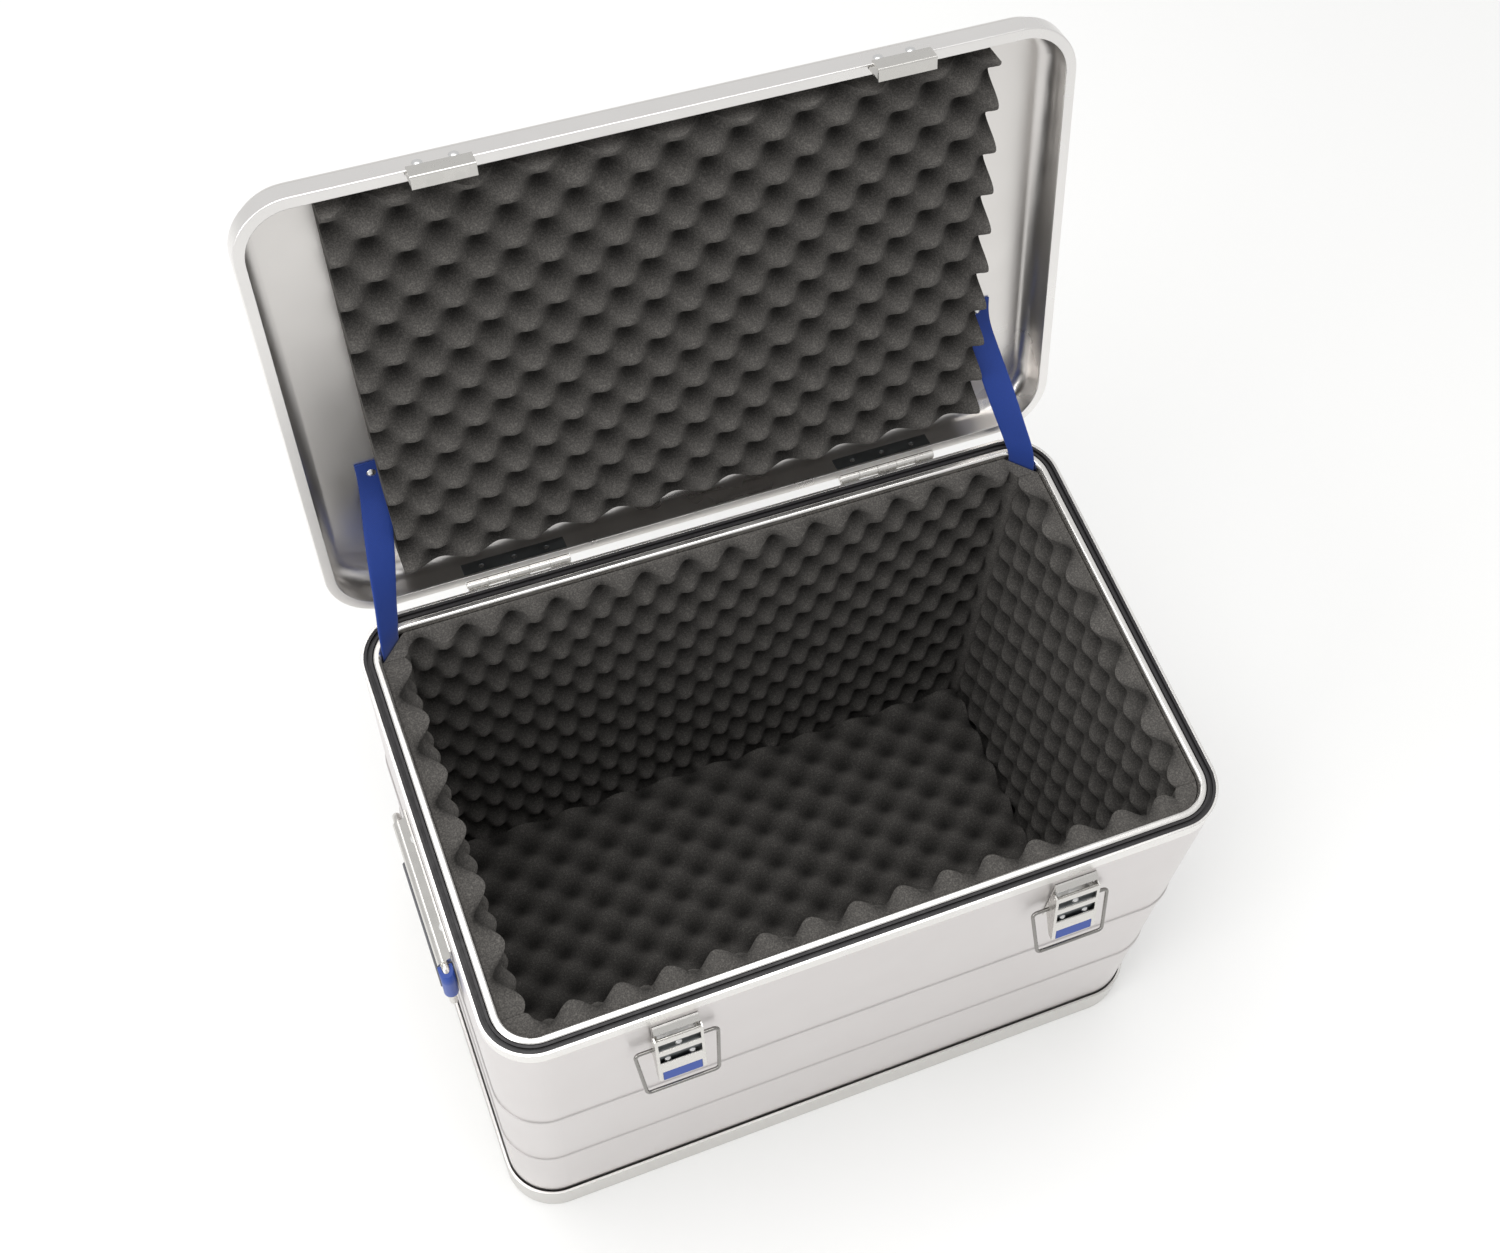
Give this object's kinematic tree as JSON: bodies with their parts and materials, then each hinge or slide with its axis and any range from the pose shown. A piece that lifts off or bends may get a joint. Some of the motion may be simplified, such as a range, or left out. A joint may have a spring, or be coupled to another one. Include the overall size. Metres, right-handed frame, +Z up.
{
  "type": "transport case",
  "caption": "Rectangular aluminium transport case with a hinged lid, profiled foam lining, lid straps, toggle latches with wire bails and drop handles on the ends.",
  "frame": {"origin": "middle of the underside, on the floor plate's flat face", "axes": "+X along the length to the right, -Y towards the latches, +Z up"},
  "size_m": [0.6062, 0.5142, 0.7894],
  "materials": {
    "shell_sheet": "satin",
    "frame_section": "satin",
    "plated_steel": "satin",
    "rivet": "satin",
    "foam_lining": "matte",
    "seal": "matte",
    "webbing": "matte",
    "blue_plastic": "satin",
    "handle_grip": "matte"
  },
  "bodies": {
    "case": {"base_frame": "frame_section", "base_plate": "shell_sheet", "body_shell": "shell_sheet", "foam_back": "foam_lining", "foam_base": "foam_lining", "foam_front": "foam_lining", "foam_left": "foam_lining", "foam_right": "foam_lining", "handle_left_bracket": "plated_steel", "handle_right_bracket": "plated_steel", "handle_rivets": "rivet", "hinge_body_rivets": "rivet", "hinge_left_body_leaf": "plated_steel", "hinge_left_pin": "plated_steel", "hinge_right_body_leaf": "plated_steel", "hinge_right_pin": "plated_steel", "latch_left_axle": "plated_steel", "latch_left_plate": "plated_steel", "latch_right_axle": "plated_steel", "latch_right_plate": "plated_steel", "latch_rivets": "rivet", "rim_frame": "frame_section", "rim_seal": "seal", "strap_left": "webbing", "strap_right": "webbing"},
    "lid": {"catch_left": "plated_steel", "catch_right": "plated_steel", "catch_rivets": "rivet", "hinge_left_backing": "plated_steel", "hinge_left_lid_leaf": "plated_steel", "hinge_lid_rivets": "rivet", "hinge_right_backing": "plated_steel", "hinge_right_lid_leaf": "plated_steel", "lid_foam": "foam_lining", "lid_frame": "frame_section", "lid_panel": "shell_sheet", "strap_lid_rivets": "rivet"},
    "latch_left_lever_body": {"latch_left_lever": "plated_steel", "latch_left_grip": "blue_plastic", "latch_left_web": "plated_steel", "latch_left_studs": "rivet"},
    "latch_left_bail_body": {"latch_left_bail": "plated_steel"},
    "handle_left_body": {"handle_left_rod": "plated_steel", "handle_left_sleeves": "blue_plastic", "handle_left_grip": "handle_grip"},
    "latch_right_lever_body": {"latch_right_lever": "plated_steel", "latch_right_grip": "blue_plastic", "latch_right_web": "plated_steel", "latch_right_studs": "rivet"},
    "latch_right_bail_body": {"latch_right_bail": "plated_steel"},
    "handle_right_body": {"handle_right_rod": "plated_steel", "handle_right_sleeves": "blue_plastic", "handle_right_grip": "handle_grip"}
  },
  "joints": [
    {"name": "lid_hinge", "type": "hinge", "parent": "case", "child": "lid", "pos_m": [0, 0.1898, 0.411], "axis": [1, 0, 0], "range_deg": [0, 103.5], "deforming": ["strap_left", "strap_right"]},
    {"name": "latch_left_lever_hinge", "type": "hinge", "parent": "case", "child": "latch_left_lever_body", "pos_m": [-0.159, -0.1916, 0.375], "axis": [-1, 0, 0], "range_deg": [0, 115]},
    {"name": "latch_left_bail_hinge", "type": "hinge", "parent": "latch_left_lever_body", "child": "latch_left_bail_body", "pos_m": [-0.159, -0.1898, 0.352], "axis": [1, 0, 0], "range_deg": [-153, 0]},
    {"name": "handle_left_hinge", "type": "hinge", "parent": "case", "child": "handle_left_body", "pos_m": [-0.2972, 0, 0.311], "axis": [0, 1, 0], "range_deg": [0, 90]},
    {"name": "latch_right_lever_hinge", "type": "hinge", "parent": "case", "child": "latch_right_lever_body", "pos_m": [0.159, -0.1916, 0.375], "axis": [-1, 0, 0], "range_deg": [0, 115]},
    {"name": "latch_right_bail_hinge", "type": "hinge", "parent": "latch_right_lever_body", "child": "latch_right_bail_body", "pos_m": [0.159, -0.1898, 0.352], "axis": [1, 0, 0], "range_deg": [-153, 0]},
    {"name": "handle_right_hinge", "type": "hinge", "parent": "case", "child": "handle_right_body", "pos_m": [0.2972, 0, 0.311], "axis": [0, -1, 0], "range_deg": [0, 90]}
  ]
}
